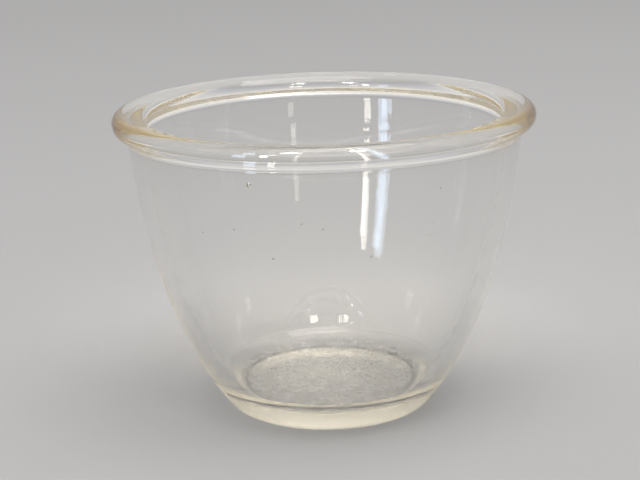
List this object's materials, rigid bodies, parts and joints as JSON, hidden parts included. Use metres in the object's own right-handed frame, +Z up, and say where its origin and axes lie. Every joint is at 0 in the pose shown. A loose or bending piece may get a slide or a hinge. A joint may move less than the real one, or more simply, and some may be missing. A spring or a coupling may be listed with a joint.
{
  "type": "glass mixing bowl",
  "caption": "Pressed-glass mixing bowl with a narrow standing foot, sides that open out in one curve and a thick rolled rim.",
  "frame": {"origin": "on the bowl's axis, in the plane that its foot stands on", "axes": "+Z up along the bowl's axis, out of its mouth; X and Y are any two square directions, as the bowl is round"},
  "size_m": [0.159, 0.159, 0.1164],
  "materials": {
    "clear_glass": "clear fire-polished pressed glass with a faint straw tint"
  },
  "bodies": {
    "root": {"mixing_bowl": "clear_glass"}
  },
  "joints": []
}
